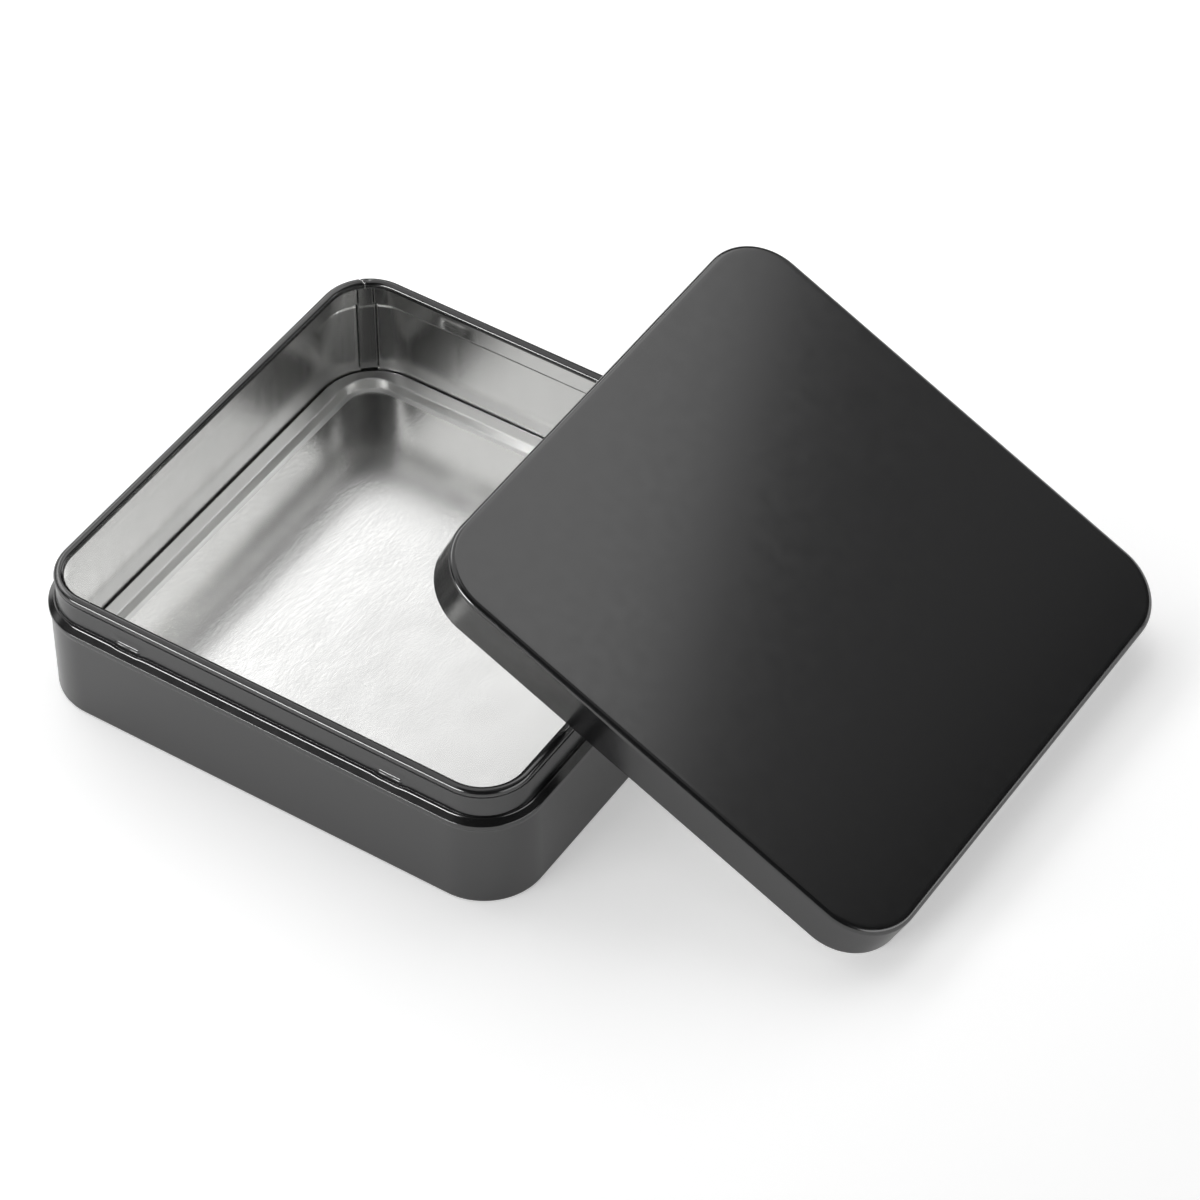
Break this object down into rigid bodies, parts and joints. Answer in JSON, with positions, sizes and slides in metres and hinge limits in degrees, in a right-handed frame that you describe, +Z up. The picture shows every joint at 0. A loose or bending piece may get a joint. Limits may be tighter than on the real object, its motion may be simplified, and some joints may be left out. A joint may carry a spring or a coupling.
{
  "type": "tin box",
  "caption": "Flat square slip lid tin, open, its lid leaning over the rim of the body beside it.",
  "frame": {"origin": "on the table under the middle of the body; the bottom plate's flat underside lies 0.7 mm above it, inside the hem ring on which the tin stands", "axes": "+Z up, +X along the body's front wall to the right, towards the lid; +Y from the front wall to the back"},
  "size_m": [0.2398, 0.1825, 0.078],
  "materials": {
    "body_paint": "satin black paint outside, bare tinplate inside",
    "lid_paint": "satin black paint outside, bare tinplate inside",
    "bare_tinplate": "bare tinplate with a fine rolled grain"
  },
  "bodies": {
    "body": {"body_wall": "body_paint", "bottom_plate": "bare_tinplate"},
    "lid": {"lid": "lid_paint"}
  },
  "joints": [
    {"name": "lid_lift", "type": "slide", "parent": "body", "child": "lid", "axis": [0, 0, 1], "range_m": [0, 0.08]}
  ]
}
